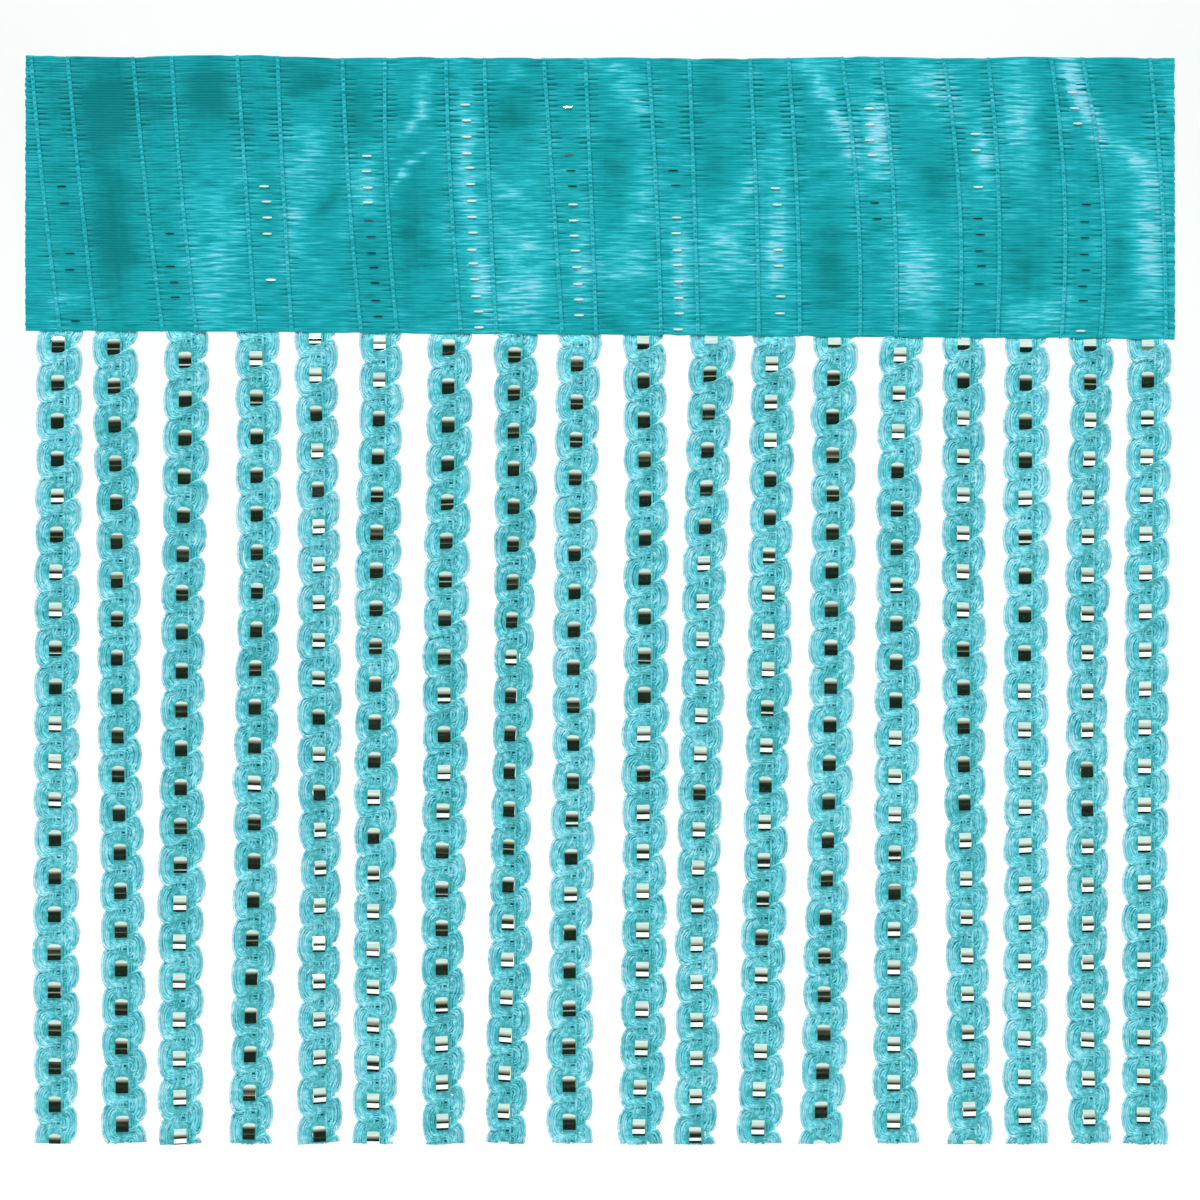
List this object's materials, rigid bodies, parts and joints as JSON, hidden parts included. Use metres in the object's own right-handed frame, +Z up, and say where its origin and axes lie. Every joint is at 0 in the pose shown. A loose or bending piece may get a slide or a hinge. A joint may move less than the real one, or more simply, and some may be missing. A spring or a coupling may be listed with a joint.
{
  "type": "string curtain",
  "caption": "Cut length of string curtain: a ribbed knitted heading band with flat scalloped knitted strings hanging side by side from its lower edge.",
  "frame": {"origin": "middle of the heading's top edge, on the cloth's middle plane", "axes": "+Z up, +X to the right along the heading as seen from the front, the face of the cloth towards -Y"},
  "size_m": [0.1798, 0.0045, 0.17],
  "materials": {
    "heading_knit": "glossy teal filament yarn, warp-knitted with raised chains",
    "string_knit": "translucent glossy aqua filament yarn, knitted flat with looped edges",
    "foil_strip": "narrow mirror foil knitted into the yarn"
  },
  "bodies": {
    "root": {"heading": "heading_knit", "strings": "string_knit"}
  },
  "joints": []
}
